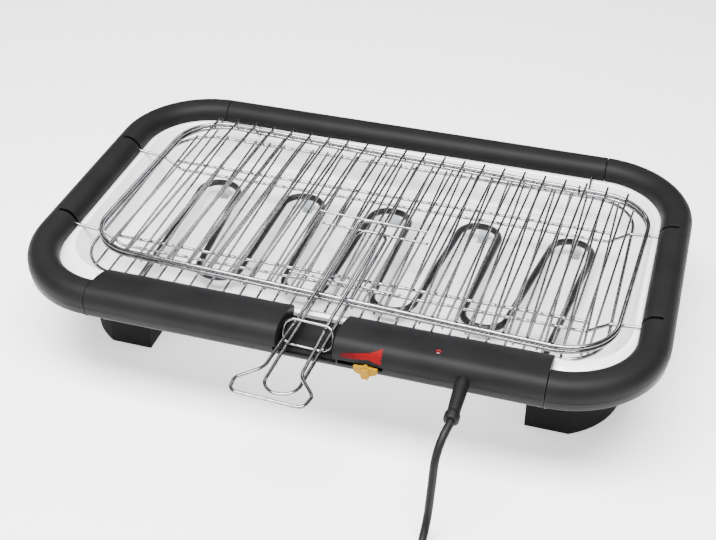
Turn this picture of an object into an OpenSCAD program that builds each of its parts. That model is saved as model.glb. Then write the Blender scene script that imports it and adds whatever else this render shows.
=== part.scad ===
// Electric table grill: a plastic tube frame round a bright tray, a bent heating element,
// a lift-off wire grate, and a hinged double wire basket lying loose on the grate.
// Millimetres, +Z up. The origin is on the floor, under the middle of the grill.

/* [Frame] */
// Length of the tube frame along X
frame_w = 580; // [576:1:600]
// Depth of the tube frame along Y
frame_d = 360; // [358:1:370]
// Width of the frame's tube, seen from above
tube_w = 28.5; // [27:0.5:30]
// Rise of the tube's dome above its inner edge
dome_h = 12.8; // [12:0.2:13.4]
// Height of the tube's inner edge above the floor
edge_z = 100; // [98:1:110]
// Outer radius of the frame's corners, seen from above
corner_r = 90; // [86:1:94]
// Depth of the wide control cover at the front
cover_d = 50; // [49:1:52]
// Wall of the moulded shells
wall = 2.2; // [1.8:0.1:2.4]

/* [Feet] */
// Distance from the middle to a foot's inner end
foot_inner_x = 178; // [170:1:182]
// Distance from the middle to a foot's flat outer face
foot_face_y = 111; // [106:1:114]
// Radius of a foot's rounded side
foot_r = 73.7; // [70:0.5:76]

/* [Grate] */
// Half length of the grate's rim, to the wire's middle
grate_x = 237; // [232:1:238]
// Half depth of the grate's rim, to the wire's middle
grate_y = 124; // [120:1:125]
// Number of rods in the grate
grate_rods = 29; // [25:2:29]
// Distance between two rods of the grate
grate_pitch = 15.64; // [15:0.02:15.7]

/* [Basket] */
// Half length of the basket's rims, to the wire's middle
basket_x = 241; // [238:1:242]
// Half depth of the basket's rims, to the wire's middle
basket_y = 119; // [116:1:120]
// Turn of the loose basket on the grate, seen from above, in degrees
basket_yaw = -2.7; // [-3:0.1:0]
// Number of rods in the lower half
lower_count = 23; // [19:2:23]
// Number of rods in the upper half
upper_count = 22; // [18:2:22]
// Wire of the basket's rims
rim_d = 4; // [3.6:0.1:4]
// Wire of all rods
rod_d = 2.2; // [1.8:0.1:2.2]
// Wire of the two handles
handle_d = 3.2; // [2.8:0.1:3.2]

/* [Heating] */
// Outer diameter of the heating tube
element_d = 6.4; // [6:0.1:6.8]
// Number of loops that point to the back
element_loops = 5; // [5:1:5]

/* [Cord] */
// Outer diameter of the power cord
cord_d = 7; // [6.5:0.1:7]

/* [Hidden] */
$fn = 48;

// The handle reaches further forward than the frame, so the frame sits behind the origin.
frame_back = 39;
// Corner centres of the frame, seen from above.
corner_x = frame_w / 2 - corner_r;
corner_y = frame_d / 2 - corner_r;
tube_in = corner_r - tube_w;
cover_in = corner_r - cover_d;
// Heights are measured from the frame's inner edge; the floor is at -edge_z.
seam_z = -3.5;
seam_gap = 0.8;
shoulder_z = seam_z - seam_gap;
lip_z = -12;
lip_inset = 0.8;
housing_z = -38;
end_gap = 0.6;
crown_r = 74;

// Handle notch in the control cover.
notch_half = 25;
notch_z = -6.2;

// Tray.
tray_r = 56;
tray_back_y = 91.5;
tray_front_y = 71;
tray_floor_z = -42;
tray_slope = 14;
sheet = 0.8;

// Feet.
foot_top_z = -46;
foot_round_x = 181.2;
foot_round_y = 46.6;
pad_spots = [[197, 94], [234, 60]];

// Heating element.
element_z = -27;
element_back_y = 74;
element_front_y = -77;
terminal_x = 186.5;
terminal_y = -146;
bush_r = 6;

// Controls, from the frame's middle.
slider_x = 53.8;
lamp_x = 110;
lamp_y = -164;
cord_x = 134;
cord_droop = 10;

// Wire grate.
grate_z = -6.5;
grate_rod_z = -4.1;
grate_rim_d = 3.2;
grate_corner_r = 42;
support_d = 3;
support_y = 69;
slot_w = 3.8;
// The carrier wires lie on the base's tongue.
slot_floor_z = -2.9;

// Double basket, in its own axes: x along the hinge, y to the back, z from the frame's edge.
basket_pos = [7, 6, 0];
basket_corner_r = 47;
lower_rim_z = 1.2;
upper_rim_z = 5.5;
lower_rod_z = -1.6;
upper_rod_z = 8.5;
lower_pitch = 20.2;
upper_pitch = 20.4;
handle_x = 1;
ring_y = -173;

// ---------------------------------------------------------------- shared helpers

module in_frame() translate([0, frame_back, edge_z]) children();
module in_basket() in_frame() translate(basket_pos) rotate([0, 0, basket_yaw]) children();

function unit(v) = v / norm(v);
// Points of a round corner of radius r at p, between a and b.
function corner_arc(a, p, b, r, steps) =
    let (
        u = unit(a - p),
        v = unit(b - p),
        half = acos(u * v) / 2,
        run = r / tan(half),
        middle = p + unit(u + v) * r / sin(half),
        from = p + u * run - middle,
        to = p + v * run - middle,
        sweep = 180 - 2 * half
    )
    [for (k = [0:steps])
        middle + (sin(sweep * (1 - k / steps)) * from + sin(sweep * k / steps) * to) / sin(sweep)];
// An open route with its inner corners rounded, and a closed one with all rounded.
function open_route(p, r, steps) = concat(
    [p[0]],
    [for (i = [1:len(p) - 2]) each corner_arc(p[i - 1], p[i], p[i + 1], r[i - 1], steps)],
    [p[len(p) - 1]]);
function closed_route(p, r, steps) =
    let (n = len(p))
    [for (i = [0:n - 1]) each corner_arc(p[(i + n - 1) % n], p[i], p[(i + 1) % n], r[i], steps)];

// A round wire along a route. up is a direction that the route never runs along.
module wire(route, d, up = [0, 0, 1], closed = false, sides = 8) {
    n = len(route);
    last = n - 1;
    ahead = function (i) closed ? route[(i + 1) % n] : route[min(i + 1, last)];
    behind = function (i) closed ? route[(i + last) % n] : route[max(i - 1, 0)];
    rings = [for (i = [0:last])
        let (
            along = unit(ahead(i) - behind(i)),
            side = unit(up - (up * along) * along),
            other = cross(along, side)
        )
        each [for (k = [0:sides - 1])
            let (a = 360 * (k + 0.5) / sides)
            route[i] + d / 2 * (cos(a) * side + sin(a) * other)]];
    skin = [for (i = [0:closed ? last : last - 1], k = [0:sides - 1])
        let (j = (i + 1) % n, m = (k + 1) % sides)
        [i * sides + k, j * sides + k, j * sides + m, i * sides + m]];
    caps = closed ? [] : [
        [for (k = [0:sides - 1]) k],
        [for (k = [sides - 1:-1:0]) last * sides + k]];
    polyhedron(rings, concat(skin, caps), convexity = 10);
}

// A straight round wire between two points.
module rod(from, to, d) {
    reach = to - from;
    tilt = acos(reach[2] / norm(reach));
    turn = atan2(reach[1], reach[0]);
    translate(from) rotate([0, tilt, turn]) cylinder(d = d, h = norm(reach));
}

// A rounded rectangle of wire, lying flat.
module wire_rim(half_x, half_y, r, d) {
    for (s = [-1, 1]) {
        translate([s * half_x, half_y - r, 0])
            rotate([90, 0, 0]) cylinder(d = d, h = 2 * (half_y - r));
        translate([r - half_x, s * half_y, 0])
            rotate([0, 90, 0]) cylinder(d = d, h = 2 * (half_x - r));
    }
    for (c = [[1, 1, 0], [-1, 1, 90], [-1, -1, 180], [1, -1, 270]])
        translate([c[0] * (half_x - r), c[1] * (half_y - r), 0])
            rotate([0, 0, c[2]]) rotate_extrude(angle = 90) translate([r, 0]) circle(d = d);
}

// How far a rod at x reaches before it meets the rim.
function rod_reach(x, half_x, half_y, r) =
    abs(x) <= half_x - r ? half_y : half_y - r + sqrt(r * r - pow(abs(x) - half_x + r, 2));

// Rods side by side along Y, from the front rim to the back rim. Those in skip are left out.
module rod_row(count, pitch, half_x, half_y, r, z, past_back, skip = []) {
    for (i = [0:count - 1]) if (len(search(i, skip)) == 0) {
        x = (i - (count - 1) / 2) * pitch;
        reach = rod_reach(x, half_x, half_y, r);
        translate([x, -reach - 1, z])
            rotate([-90, 0, 0]) cylinder(d = rod_d, h = 2 * reach + 1 + past_back);
    }
}

// ---------------------------------------------------------------- frame sections

// Sections are drawn with x as the distance from the corner centre, and y as height.
module tube_outline(inset, low) {
    r = dome_h - inset;
    outer_mid = corner_r - dome_h;
    inner_mid = tube_in + dome_h;
    intersection() {
        union() {
            translate([outer_mid, 0]) circle(r);
            translate([inner_mid, 0]) circle(r);
            translate([inner_mid, -r]) square([outer_mid - inner_mid, 2 * r]);
            translate([tube_in + inset, low]) square([tube_w - 2 * inset, -low]);
        }
        translate([tube_in - 1, low]) square([tube_w + 2, 40]);
    }
}
module cover_outline(inset, low) {
    outer_mid = corner_r - dome_h;
    intersection() {
        translate([outer_mid, 0]) circle(dome_h - inset);
        translate([outer_mid, 0]) square(dome_h);
    }
    intersection() {
        translate([outer_mid, dome_h - crown_r]) circle(crown_r - inset);
        translate([cover_in + inset, 0]) square([outer_mid - cover_in - inset, dome_h]);
    }
    translate([cover_in + inset, low]) square([cover_d - 2 * inset, -low]);
}
module upper_section() difference() {
    tube_outline(0, seam_z);
    tube_outline(wall, seam_z - 1);
}
module cover_section() difference() {
    cover_outline(0, seam_z);
    cover_outline(wall, seam_z - 1);
}
// A trough below the seam, with tongues that stand inside the upper shell.
module base_section() {
    inner = tube_in + lip_inset;
    outer = corner_r - lip_inset;
    difference() {
        translate([inner, lip_z]) square([outer - inner, shoulder_z - lip_z]);
        translate([inner + 2.4, lip_z + 2]) square([outer - inner - 4.8, 20]);
    }
    tongues(tube_in);
}
module tongues(inner)
    for (u = [inner + wall + 0.15, corner_r - wall - 1.15])
        translate([u, shoulder_z - 0.4]) square([1, 3]);
module housing_outline(t) {
    inner = cover_in + lip_inset + t;
    outer = corner_r - lip_inset - t;
    top = shoulder_z + 2 * t;
    polygon([[outer, top], [outer, lip_z + t], [75 + 0.5 * t, lip_z + t],
        [61 + 0.5 * t, housing_z + t], [inner, housing_z + t], [inner, top]]);
}
module housing_section() difference() {
    housing_outline(0);
    housing_outline(wall);
}

// The right-hand end of the frame: a corner, the side and another corner.
module round_end() {
    translate([corner_x, corner_y, 0]) rotate_extrude(angle = 90) children();
    translate([corner_x, -corner_y, 0]) rotate([0, 0, -90]) rotate_extrude(angle = 90) children();
    translate([corner_x, corner_y, 0]) rotate([90, 0, 0]) linear_extrude(2 * corner_y) children();
}
front_y = -corner_y - corner_r;
piece_length = 2 * corner_x - 2 * end_gap;
module at_ends() for (s = [-1, 1]) translate([s * (piece_length / 2 - 1), 0, 0]) children();
// The line of the cord where it passes the front wall, a little downwards.
module along_cord() translate([cord_x, front_y + 2, -0.6]) rotate([90 + cord_droop, 0, 0]) children();
module along_back(length)
    translate([-length / 2, corner_y, 0]) rotate([90, 0, 90]) linear_extrude(length) children();
module along_front(length)
    translate([length / 2, -corner_y, 0]) rotate([90, 0, -90]) linear_extrude(length) children();

// Screw posts: one stands in the base, the other hangs from the shell above it.
tube_mid = corner_r - tube_w / 2;
end_posts = [
    [corner_x + tube_mid, 36], [corner_x + tube_mid, -36],
    [corner_x + 20, corner_y + tube_mid - 3], [corner_x + 20, -corner_y - tube_mid + 3],
];
back_posts = [[-130, corner_y + tube_mid], [130, corner_y + tube_mid]];
front_posts = [[-178, -165], [-80, -165], [88, -165], [178, -165]];
post_z = -3;
foot_screw_x = corner_x + tube_mid + 2;
foot_screw_ys = [61, 77];
module upper_posts(spots) {
    for (p = spots)
        translate([p[0], p[1], post_z]) difference() {
            cylinder(r = 3.2, h = 14.2);
            translate([0, 0, -1]) cylinder(r = 1.25, h = 10);
        }
}
module lower_posts(spots) {
    for (p = spots)
        translate([p[0], p[1], lip_z]) cylinder(r = 4.6, h = post_z - lip_z);
}
module lower_post_bores(spots) {
    for (p = spots)
        translate([p[0], p[1], lip_z]) {
            translate([0, 0, -1]) cylinder(r = 1.6, h = 20);
            translate([0, 0, -1]) cylinder(r = 3.2, h = 3.5);
        }
}
module screw(head_r, shank_r, length) {
    translate([0, 0, -1.8]) cylinder(r = head_r, h = 1.8);
    cylinder(r = shank_r, h = length);
}

// ---------------------------------------------------------------- frame shells

// Slots in the inner wall that the grate's carrier wires drop into.
module carrier_slots(floor_z)
    for (s = [-1, 1])
        translate([corner_x + tube_in - 3, s * support_y - slot_w / 2, floor_z]) cube([20, slot_w, 30]);
module end_shell() {
    difference() {
        round_end() upper_section();
        carrier_slots(seam_z - 1);
    }
    upper_posts(end_posts);
}
module end_base() {
    difference() {
        union() {
            round_end() base_section();
            lower_posts(end_posts);
            for (s = [-1, 1], y = foot_screw_ys)
                translate([foot_screw_x, s * y, lip_z]) cylinder(r = 3.6, h = 7);
        }
        lower_post_bores(end_posts);
        carrier_slots(slot_floor_z);
        for (s = [-1, 1], y = foot_screw_ys)
            translate([foot_screw_x, s * y, lip_z - 1]) cylinder(r = 1.25, h = 7);
    }
}
module end_shell_right() color("dimgray") in_frame() end_shell();
module end_shell_left() color("dimgray") in_frame() mirror([1, 0, 0]) end_shell();
module end_base_right() color("gray") in_frame() end_base();
module end_base_left() color("gray") in_frame() mirror([1, 0, 0]) end_base();
module back_shell() color("dimgray") in_frame() {
    along_back(piece_length) upper_section();
    upper_posts(back_posts);
}
module back_base() color("gray") in_frame() difference() {
    union() {
        along_back(piece_length) base_section();
        lower_posts(back_posts);
    }
    lower_post_bores(back_posts);
}

// The wide front cover, with a notch that the basket's handles lie in.
module control_cover() color("dimgray") in_frame() {
    difference() {
        union() {
            along_front(piece_length) cover_section();
            at_ends() along_front(2) cover_outline(0.5, seam_z);
            intersection() {
                along_front(2 * notch_half + 2 * wall) cover_outline(0.5, notch_z - wall);
                translate([-notch_half - wall, front_y + 3, notch_z - wall])
                    cube([2 * notch_half + 2 * wall, cover_d - 6, 40]);
            }
        }
        translate([-notch_half, front_y - 1, notch_z]) cube([2 * notch_half, cover_d + 2, 40]);
        translate([lamp_x, lamp_y, 0]) cylinder(r = 3.1, h = 30);
        along_cord() translate([0, 0, -4]) cylinder(r = 5.3, h = 12);
    }
    upper_posts(front_posts);
}
module control_housing() color("gray") in_frame() difference() {
    union() {
        along_front(piece_length) housing_section();
        along_front(piece_length - 5) tongues(cover_in);
        at_ends() along_front(2) housing_outline(0);
        lower_posts(front_posts);
    }
    lower_post_bores(front_posts);
    // Handle notch, slider slot, cord hole and the two holes for the element's ends.
    translate([-notch_half - wall - 0.3, front_y - 1, notch_z - wall - 0.2])
        cube([2 * (notch_half + wall + 0.3), cover_d + 2, 20]);
    translate([29, front_y - 1, -8]) cube([38.5, 5, 20]);
    along_cord() translate([0, 0, -4]) cylinder(r = 5.3, h = 12);
    for (s = [-1, 1])
        translate([s * terminal_x, -corner_y - cover_in + 1, element_z])
            rotate([90, 0, 0]) cylinder(r = bush_r + 0.1, h = 6);
}

// ---------------------------------------------------------------- tray

// The frame's opening seen from above, grown by e, with the step at the control cover.
module opening_outline(e) difference() {
    r = tube_in + e;
    union() {
        square([2 * (corner_x + r), 2 * corner_y], center = true);
        square([2 * corner_x, 2 * (corner_y + r)], center = true);
        for (s = [-1, 1], t = [-1, 1])
            translate([s * corner_x, t * corner_y]) circle(r);
    }
    translate([-corner_x + e, front_y]) square([2 * corner_x - 2 * e, cover_d - e]);
}
module tray_outline(r) {
    half = corner_x + 1;
    translate([-half, -tray_front_y - r]) square([2 * half, tray_back_y + tray_front_y + 2 * r]);
    translate([-half - r, -tray_front_y]) square([2 * (half + r), tray_back_y + tray_front_y]);
    for (s = [-1, 1], y = [tray_back_y, -tray_front_y])
        translate([s * half, y]) circle(r);
}
module tray_wall() polygon([[tray_r, seam_z - 0.1], [tray_r + 0.9, seam_z - 0.1],
    [tray_r - tray_slope + 0.9, tray_floor_z - sheet], [tray_r - tray_slope, tray_floor_z - sheet]]);
module drip_tray() color("whitesmoke") in_frame() difference() {
    half = corner_x + 1;
    depth = tray_back_y + tray_front_y;
    union() {
        translate([0, 0, seam_z - 0.7]) linear_extrude(0.6) difference() {
            opening_outline(1.8);
            tray_outline(tray_r);
        }
        translate([0, 0, tray_floor_z - sheet]) linear_extrude(sheet) tray_outline(tray_r - tray_slope + 0.5);
        for (m = [0, 1]) mirror([m, 0, 0]) {
            translate([half, tray_back_y, 0]) rotate_extrude(angle = 90) tray_wall();
            translate([half, -tray_front_y, 0]) rotate([0, 0, -90]) rotate_extrude(angle = 90) tray_wall();
            translate([half, tray_back_y, 0]) rotate([90, 0, 0]) linear_extrude(depth) tray_wall();
        }
        translate([-half, tray_back_y, 0]) rotate([90, 0, 90]) linear_extrude(2 * half) tray_wall();
        translate([half, -tray_front_y, 0]) rotate([90, 0, -90]) linear_extrude(2 * half) tray_wall();
    }
    for (s = [-1, 1])
        translate([s * terminal_x, -tray_front_y - 30, element_z])
            rotate([90, 0, 0]) cylinder(r = bush_r + 0.1, h = 25);
}

// ---------------------------------------------------------------- feet

module foot_outline(t) intersection() {
    translate([foot_round_x, foot_round_y]) circle(foot_r - t);
    translate([foot_inner_x + t, foot_round_y - 8 + t])
        square([100, foot_face_y - foot_round_y + 8 - 2 * t]);
}
// A foot is a hollow quarter-round block with an arm that rises outside the tray.
module foot() {
    base_z = -edge_z + 0.8;
    difference() {
        union() {
            difference() {
                translate([0, 0, base_z]) linear_extrude(foot_top_z - base_z) foot_outline(0);
                translate([0, 0, base_z - 1]) linear_extrude(foot_top_z - base_z - 2) foot_outline(3);
            }
            for (p = pad_spots)
                translate([p[0], p[1], base_z + 0.6]) cylinder(r = 8, h = foot_top_z - base_z - 2);
            translate([0, 84, 0]) rotate([90, 0, 0]) linear_extrude(30)
                polygon([[225, foot_top_z - 4], [269, foot_top_z - 4], [269, lip_z - 4], [287, lip_z - 4],
                    [287, lip_z], [265, lip_z], [265, foot_top_z], [225, foot_top_z]]);
        }
        for (p = pad_spots)
            translate([p[0], p[1], base_z - 1]) cylinder(r = 6, h = 4.2);
        for (y = foot_screw_ys)
            translate([foot_screw_x, y, lip_z - 5]) cylinder(r = 1.7, h = 6);
    }
}
module foot_back_right() color("#222222") in_frame() foot();
module foot_back_left() color("#222222") in_frame() mirror([1, 0, 0]) foot();
module foot_front_right() color("#222222") in_frame() mirror([0, 1, 0]) foot();
module foot_front_left() color("#222222") in_frame() mirror([0, 1, 0]) mirror([1, 0, 0]) foot();
module four_ways() for (s = [0, 1], t = [0, 1]) mirror([s, 0, 0]) mirror([0, t, 0]) children();
module foot_pads() color("#151515") in_frame() four_ways()
    for (p = pad_spots)
        translate([p[0], p[1], -edge_z]) cylinder(r = 6, h = 3.9);
module foot_screws() color("silver") in_frame() four_ways()
    for (y = foot_screw_ys)
        translate([foot_screw_x, y, lip_z - 4]) screw(3, 1.4, 9);
module case_screws() color("silver") in_frame() {
    for (m = [0, 1], p = end_posts)
        mirror([m, 0, 0]) translate([p[0], p[1], lip_z + 2.5]) screw(2.9, 1.35, 13);
    for (p = concat(back_posts, front_posts))
        translate([p[0], p[1], lip_z + 2.5]) screw(2.9, 1.35, 13);
}

// ---------------------------------------------------------------- heating

// The loops lean a little, because the tube is bent by hand on a jig.
element_corners = [for (k = [0:element_loops - 1])
    let (n = k - (element_loops - 1) / 2)
    each [[1 + 83 * n - 22.4, element_front_y, element_z], [7.5 + 90 * n - 19.3, element_back_y, element_z],
        [7.5 + 90 * n + 19.3, element_back_y, element_z], [1 + 83 * n + 22.4, element_front_y, element_z]]];
element_route = concat(
    [[-terminal_x, terminal_y, element_z], [-terminal_x, -108, element_z]],
    [for (i = [1:len(element_corners) - 2]) element_corners[i]],
    [[terminal_x, -108, element_z], [terminal_x, terminal_y, element_z]]);
element_bends = concat([30], [for (i = [1:len(element_corners) - 2]) 18.4], [30]);
module heating_element() color("#3c3c3e") in_frame()
    wire(open_route(element_route, element_bends, 5), element_d);
module element_bushes() color("ivory") in_frame()
    for (s = [-1, 1])
        translate([s * terminal_x, -113, element_z]) rotate([90, 0, 0]) difference() {
            union() {
                cylinder(r = bush_r, h = 24);
                translate([0, 0, 20.4]) cylinder(r = 8, h = 3);
            }
            translate([0, 0, -1]) cylinder(r = element_d / 2 + 0.05, h = 30);
        }
module element_clips() color("silver") in_frame()
    for (k = [0:element_loops - 1])
        translate([7.5 + 90 * (k - (element_loops - 1) / 2) - 5, element_back_y - 8, tray_floor_z]) {
            cube([10, 16, 1]);
            translate([0, 7.4, 0]) cube([10, 1.2, element_z - element_d / 2 - tray_floor_z]);
        }

// ---------------------------------------------------------------- controls inside the front

module thermostat_body() color("#caa27a") in_frame() difference() {
    translate([30, -165, -10]) cube([48, 18, 14]);
    translate([29, -166, -8]) cube([50, 5, 3.6]);
}
module thermostat_slider() color("gold") in_frame() translate([slider_x, 0, 0]) {
    translate([0, front_y - 0.5, 0]) rotate([90, 0, 0]) linear_extrude(3.9)
        polygon([[-10.2, -4.2], [-3, -4.2], [0, -1.8], [3, -4.2], [10.2, -4.2], [10.2, -9], [7, -11.6],
            [4, -12], [2.6, -15.6], [-2.6, -15.6], [-4, -12], [-7, -11.6], [-10.2, -9]]);
    translate([-5, front_y - 1, -7.5]) cube([10, 17, 2.6]);
    translate([-8, front_y + 12, -7.5]) cube([16, 6, 2.6]);
}
module pilot_lamp_lens() color("#a01818") in_frame() translate([lamp_x, lamp_y, 0]) {
    translate([0, 0, 8]) cylinder(r = 3, h = 5.2);
    translate([0, 0, 7]) cylinder(r = 4.2, h = 1.4);
}
module pilot_lamp_bulb() color("#ffb0a0") in_frame()
    translate([lamp_x, lamp_y, -4]) cylinder(r = 2.4, h = 10.8);
// The cut-out and the terminal block stand on the housing's floor, side by side along X.
inside_z = housing_z + wall;
cutout_x = -70;
cutout_size = [22, 10, 7];
block_x = 86;
block_size = [34, 14, 13];
leads_y = -144;
module thermal_cutout() color("#303030") in_frame()
    translate([cutout_x, leads_y - cutout_size[1] / 2, inside_z]) cube(cutout_size);
module terminal_block() color("ivory") in_frame()
    translate([block_x, leads_y - block_size[1] / 2, inside_z]) difference() {
        cube(block_size);
        for (k = [0:2])
            translate([6 + 11 * k, block_size[1] / 2, 5]) cylinder(r = 2, h = 10);
    }
// Insulated leads between the element's ends, the cut-out, the regulator and the terminal block.
lead_d = 2.4;
module wiring() color("#b0452a") in_frame() {
    end_y = terminal_y - lead_d / 2 - 0.2;
    low_z = inside_z + 4;
    rod([-terminal_x, end_y, element_z], [cutout_x - 0.4, leads_y, low_z], lead_d);
    rod([cutout_x + cutout_size[0] + 0.4, leads_y, low_z], [block_x - 0.4, leads_y, low_z], lead_d);
    rod([block_x + block_size[0] + 0.4, leads_y, low_z], [terminal_x, end_y, element_z], lead_d);
    rod([block_x + 6, leads_y, inside_z + 9], [60, -150, -11.4], lead_d);
    rod([block_x + 17, leads_y, inside_z + 9], [cord_x - 1, -147.2, 3.5], lead_d);
}
module cord_clamp() color("#404040") in_frame() difference() {
    translate([cord_x - 12, -169.5, lip_z + wall]) cube([24, 8, 19]);
    along_cord() translate([0, 0, -30]) cylinder(r = cord_d / 2 + 0.1, h = 25);
}

// ---------------------------------------------------------------- cord

// A tapered sleeve with a flange inside the wall and a flared collar at its outer end.
module strain_relief() color("#2a2a2a") in_frame() along_cord() rotate_extrude() {
    bore = cord_d / 2 - 0.1;
    polygon([[bore, -7], [6.4, -7], [6.4, -4], [5.1, -4], [5.1, 3.4], [6.2, 3.4],
        [4.9, 34], [6.3, 35], [6.3, 41], [5.6, 42], [bore, 42]]);
}

// From the clamp out through the relief, down to the floor and on to the coil.
cord_floor_z = cord_d / 2 - edge_z;
cord_route = [[134, -150, 4.3], [134, -221, -8.2], [129.2, -244, -14], [127, -258, cord_floor_z],
    [127, -330, cord_floor_z]];
cord_bends = [30, 28, 32];
// The coil is three turns wide and two turns high.
coil_pos = [81.5, -345, -edge_z];
coil_r = 38.5;
module power_cord() color("#181818") in_frame()
    wire(open_route(cord_route, cord_bends, 7), cord_d, [1, 0, 0], false, 10);
module cord_coil() color("#181818") in_frame() translate(coil_pos)
    rotate_extrude() translate([coil_r - 1.5 * cord_d, 0]) square([3 * cord_d, 13.2]);
// The plug lies beside the coil, with its pins away from it.
plug_pos = coil_pos + [coil_r + 3.5, 0, 0];
module power_plug() color("#202020") in_frame() translate(plug_pos) {
    axis_z = 19;
    rod([0, -22, 7.1], [0, -47, axis_z], 9);
    translate([0, -45, axis_z]) rotate([90, 0, 0]) cylinder(r = 13, h = 12);
    translate([0, -56, axis_z]) rotate([90, 0, 0]) cylinder(r = axis_z, h = 20);
    for (s = [-1, 1])
        translate([s * 9.5, -75, axis_z]) rotate([90, 0, 0]) cylinder(r = 2.4, h = 20);
}

// ---------------------------------------------------------------- grate

module grate_rim() color("silver") in_frame() translate([0, 0, grate_z])
    wire_rim(grate_x, grate_y, grate_corner_r, grate_rim_d);
// Two rods run on past the rim and turn up towards the back of the frame.
long_rods = [1, 26];
turn_r = 6;
turn_angle = 29;
turn_y = 140;
turned_end = 8;
module grate_rods() color("silver") in_frame() {
    rod_row(grate_rods, grate_pitch, grate_x, grate_y, grate_corner_r, grate_rod_z, 1, long_rods);
    for (i = long_rods) {
        x = (i - (grate_rods - 1) / 2) * grate_pitch;
        start_y = -rod_reach(x, grate_x, grate_y, grate_corner_r) - 1;
        translate([x, start_y, grate_rod_z]) rotate([-90, 0, 0]) cylinder(d = rod_d, h = turn_y - start_y);
        translate([x, turn_y, grate_rod_z + turn_r]) {
            rotate([0, 90, 0]) rotate_extrude(angle = turn_angle) translate([turn_r, 0]) circle(d = rod_d);
            translate([0, turn_r * sin(turn_angle), -turn_r * cos(turn_angle)])
                rotate([turn_angle - 90, 0, 0]) cylinder(d = rod_d, h = turned_end);
        }
    }
}
module grate_cross_wires() color("silver") in_frame()
    for (s = [-1, 1])
        translate([-219, s * 68.6, grate_z]) rotate([0, 90, 0]) cylinder(d = 3, h = 438);
// Two carrier wires hang below, climb over the side rims and rest in the frame's slots.
module grate_support_wires() color("silver") in_frame()
    for (s = [-1, 1]) {
        half = [[266, -0.9], [241, -3.5], [236.5, -3.5], [217, -16.5]];
        points = concat(
            [for (p = half) [-p[0], s * support_y, p[1]]],
            [for (i = [3:-1:0]) [half[i][0], s * support_y, half[i][1]]]);
        wire(open_route(points, [12, 4, 6, 6, 4, 12], 3), support_d, [0, 1, 0]);
    }

// ---------------------------------------------------------------- double basket

module lower_rim() color("silver") in_basket() translate([0, 0, lower_rim_z])
    wire_rim(basket_x, basket_y, basket_corner_r, rim_d);
module upper_rim() color("silver") in_basket() translate([0, 0, upper_rim_z])
    wire_rim(basket_x, basket_y, basket_corner_r, rim_d);
module lower_rods() color("silver") in_basket()
    rod_row(lower_count, lower_pitch, basket_x, basket_y, basket_corner_r, lower_rod_z, 1);
module upper_rods() color("silver") in_basket()
    rod_row(upper_count, upper_pitch, basket_x, basket_y, basket_corner_r, upper_rod_z, 7);

// The lower handle is a long narrow loop, the upper one ends in a wide flare.
lower_handle_z = -1.1;
upper_handle_z = 10.4;
bar_d = 2.4;
module lower_handle() color("silver") in_basket() {
    half = 14.8;
    corners = [[handle_x - half, -8, lower_handle_z], [handle_x - half, -242, lower_handle_z],
        [handle_x + half, -242, lower_handle_z], [handle_x + half, -8, lower_handle_z]];
    wire(closed_route(corners, [10, 14.5, 14.5, 10], 6), handle_d, closed = true);
}
module lower_handle_bars() color("silver") in_basket()
    for (y = [-8, -89])
        translate([-50, y, lower_rod_z + 0.1]) rotate([0, 90, 0]) cylinder(d = bar_d, h = 104);
module upper_handle() color("silver") in_basket() {
    near = upper_rod_z + 0.3;
    far = upper_handle_z;
    side = [[13, -5, near], [13, -112, near], [13, -150, far],
        [15.8, -228, far], [33, -247, far], [31, -262, far]];
    radius = [9.5, 60, 60, 16, 7, 7];
    corners = concat(
        [for (p = side) [handle_x + p[0], p[1], p[2]]],
        [for (i = [5:-1:0]) [handle_x - side[i][0], side[i][1], side[i][2]]]);
    wire(closed_route(corners, concat(radius, [for (i = [5:-1:0]) radius[i]]), 4), handle_d, closed = true);
}
module upper_handle_bar() color("silver") in_basket()
    translate([-52, -5, upper_rod_z + 1]) rotate([0, 90, 0]) cylinder(d = bar_d, h = 104);
module hinge_rings() color("silver") in_basket()
    for (s = [-1, 1])
        translate([s * 167.5, basket_y, (lower_rim_z + upper_rim_z) / 2])
            rotate([0, 90, 0]) rotate_extrude() translate([5.15, 0]) circle(d = 1.5);

// A loose flat loop round both handles. It leans forward on the upper one.
module lock_ring() color("silver") in_basket()
    translate([handle_x, ring_y, 4.8]) rotate([-29, 0, 0]) {
        half_x = 22.1;
        half_z = 10.8;
        corners = [[-half_x, 0, -half_z], [half_x, 0, -half_z], [half_x, 0, half_z], [-half_x, 0, half_z]];
        wire(closed_route(corners, [9.2, 9.2, 9.2, 9.2], 6), 2.5, [0, 1, 0], true);
    }

end_shell_left();
end_shell_right();
back_shell();
control_cover();
end_base_left();
end_base_right();
back_base();
control_housing();
drip_tray();
foot_front_left();
foot_front_right();
foot_back_left();
foot_back_right();
foot_pads();
foot_screws();
case_screws();
heating_element();
element_bushes();
element_clips();
thermostat_body();
thermostat_slider();
pilot_lamp_lens();
pilot_lamp_bulb();
thermal_cutout();
terminal_block();
wiring();
cord_clamp();
strain_relief();
power_cord();
cord_coil();
power_plug();
grate_rim();
grate_rods();
grate_cross_wires();
grate_support_wires();
lower_rim();
lower_rods();
lower_handle();
lower_handle_bars();
hinge_rings();
upper_rim();
upper_rods();
upper_handle();
upper_handle_bar();
lock_ring();
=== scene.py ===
from math import cos, pi, radians, sin, sqrt, tan
import bmesh
import bpy
from mathutils import Matrix, Vector


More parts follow.
